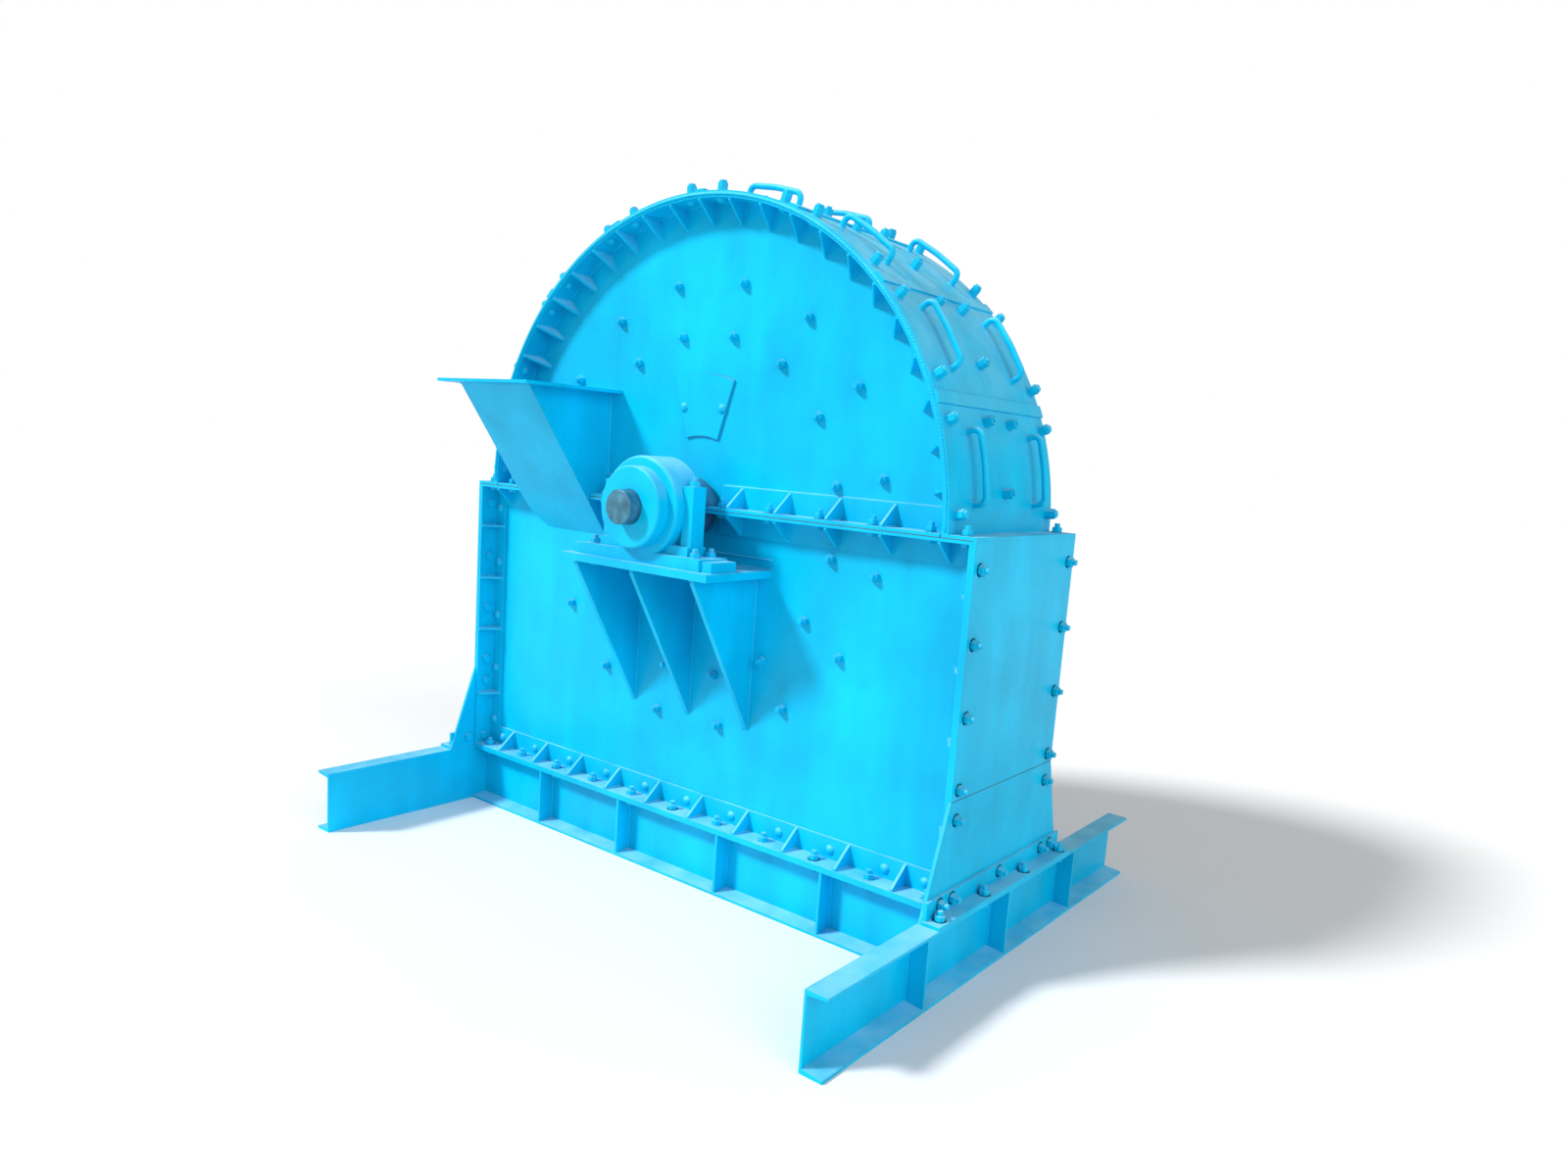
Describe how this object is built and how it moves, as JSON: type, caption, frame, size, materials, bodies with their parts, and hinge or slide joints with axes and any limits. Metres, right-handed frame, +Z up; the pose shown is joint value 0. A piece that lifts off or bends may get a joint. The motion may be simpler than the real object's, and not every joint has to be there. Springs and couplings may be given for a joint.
{
  "type": "hammer mill",
  "caption": "Heavy swing-hammer mill: half-round bolted hood on a ribbed casing, side feed chute, bearings on brackets, channel skid with an open bottom discharge.",
  "frame": {"origin": "bottom centre of the skid's footprint, on the floor", "axes": "+X along the chute side towards its right-hand end, +Y across the machine along the shaft towards the drive end, +Z up. The shaft's axis is at x 0, z 1.456."},
  "size_m": [2.614, 2.18, 2.6462],
  "materials": {
    "blue_paint": "satin cyan-blue enamel over welded plate and castings",
    "bare_steel": "turned, oiled",
    "bearing_steel": "ground",
    "wear_steel": "rough manganese steel"
  },
  "bodies": {
    "casing": {"bearing_base_front": "blue_paint", "bearing_base_rear": "blue_paint", "bearing_bolts": "blue_paint", "bearing_bracket_front": "blue_paint", "bearing_bracket_rear": "blue_paint", "bearing_cap_front": "blue_paint", "bearing_cap_rear": "blue_paint", "bearing_end_covers": "blue_paint", "bearing_outer_rings": "bearing_steel", "chute_flange": "blue_paint", "cover_bolts": "blue_paint", "cover_handles": "blue_paint", "cover_seam_straps": "blue_paint", "cross_beam_front": "blue_paint", "cross_beam_rear": "blue_paint", "discharge_grate": "wear_steel", "end_base_angles": "blue_paint", "end_ledges": "blue_paint", "end_plate_left": "blue_paint", "end_plate_right": "blue_paint", "feed_chute": "blue_paint", "frame_bolts": "blue_paint", "frame_gussets": "blue_paint", "grate_rails": "wear_steel", "hatch_cover": "blue_paint", "hood_cover_1": "blue_paint", "hood_cover_2": "blue_paint", "hood_cover_3": "blue_paint", "hood_cover_4": "blue_paint", "hood_cover_5": "blue_paint", "hood_cover_6": "blue_paint", "hood_cover_7": "blue_paint", "hood_cover_8": "blue_paint", "hood_liners": "wear_steel", "hood_split_angles": "blue_paint", "hood_wall_front": "blue_paint", "hood_wall_rear": "blue_paint", "lower_frame_angles": "blue_paint", "lower_wall_front": "blue_paint", "lower_wall_rear": "blue_paint", "rim_bands": "blue_paint", "side_liners": "wear_steel", "skid_beam_left": "blue_paint", "skid_beam_right": "blue_paint", "skid_stiffeners": "blue_paint", "skirt_plates": "blue_paint", "wall_bolts": "blue_paint"},
    "rotor": {"bearing_inner_rings": "bearing_steel", "hammer_pins": "bare_steel", "rotor_discs": "wear_steel", "rotor_key": "bare_steel", "rotor_shaft": "bare_steel", "rotor_spacers": "wear_steel", "shaft_seal_collars": "bare_steel"},
    "cage_front": {"rollers_front": "bearing_steel"},
    "cage_rear": {"rollers_rear": "bearing_steel"},
    "hammers_1": {"hammer_row_1": "wear_steel"},
    "hammers_2": {"hammer_row_2": "wear_steel"},
    "hammers_3": {"hammer_row_3": "wear_steel"},
    "hammers_4": {"hammer_row_4": "wear_steel"}
  },
  "joints": [
    {"name": "rotor_spin", "type": "hinge", "parent": "casing", "child": "rotor", "pos_m": [0, 0, 1.456], "axis": [0, 1, 0], "continuous": true},
    {"name": "hammer_swing_1", "type": "hinge", "parent": "rotor", "child": "hammers_1", "pos_m": [0.45255, 0, 1.90855], "axis": [0, 1, 0], "continuous": true},
    {"name": "hammer_swing_2", "type": "hinge", "parent": "rotor", "child": "hammers_2", "pos_m": [-0.45255, 0, 1.90855], "axis": [0, 1, 0], "continuous": true},
    {"name": "hammer_swing_3", "type": "hinge", "parent": "rotor", "child": "hammers_3", "pos_m": [-0.45255, 0, 1.00345], "axis": [0, 1, 0], "continuous": true},
    {"name": "hammer_swing_4", "type": "hinge", "parent": "rotor", "child": "hammers_4", "pos_m": [0.45255, 0, 1.00345], "axis": [0, 1, 0], "continuous": true},
    {"name": "cage_spin_front", "type": "hinge", "parent": "casing", "child": "cage_front", "pos_m": [0, -0.525, 1.456], "axis": [0, 1, 0], "continuous": true},
    {"name": "cage_spin_rear", "type": "hinge", "parent": "casing", "child": "cage_rear", "pos_m": [0, 0.525, 1.456], "axis": [0, 1, 0], "continuous": true}
  ],
  "couplings": [
    {"joint": "cage_spin_front", "follows": "rotor_spin", "ratio": 0.44},
    {"joint": "cage_spin_rear", "follows": "rotor_spin", "ratio": 0.44}
  ]
}
